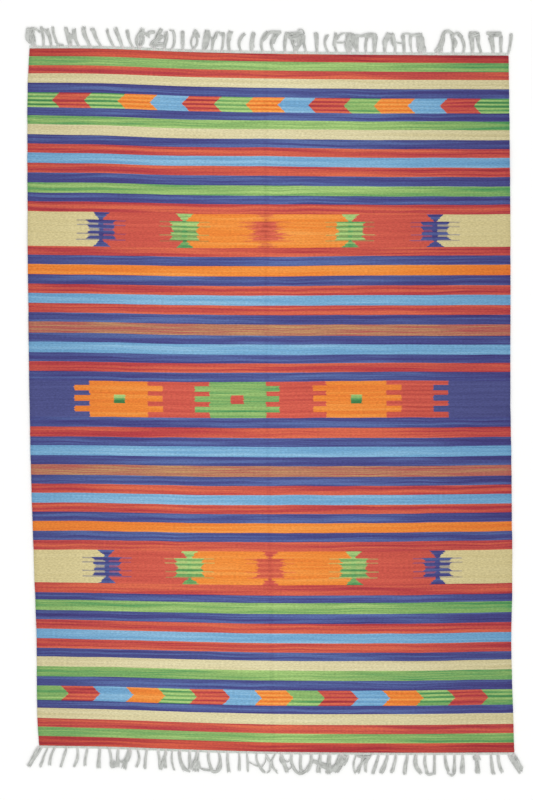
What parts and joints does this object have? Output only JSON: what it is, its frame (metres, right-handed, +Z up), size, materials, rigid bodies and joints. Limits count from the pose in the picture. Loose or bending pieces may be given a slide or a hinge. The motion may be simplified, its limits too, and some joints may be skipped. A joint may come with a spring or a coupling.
{
  "type": "kilim rug",
  "caption": "Flat-woven striped kilim rug with chevron and comb motif bands, laid out flat, with a bunched warp fringe along each end.",
  "frame": {"origin": "middle of the whole rug, fringes included, on the surface that it lies on", "axes": "+Y along the rug's length towards its far end, +X across its width to the right, +Z up out of its face"},
  "size_m": [1.6516, 2.4966, 0.005],
  "materials": {
    "flat_woven_cotton": "matt flat weave in many-coloured weft stripes",
    "warp_cotton": "matt undyed cotton warp, twisted in bunches"
  },
  "bodies": {
    "root": {"kilim_cloth": "flat_woven_cotton", "fringe_far": "warp_cotton", "fringe_near": "warp_cotton"}
  },
  "joints": []
}
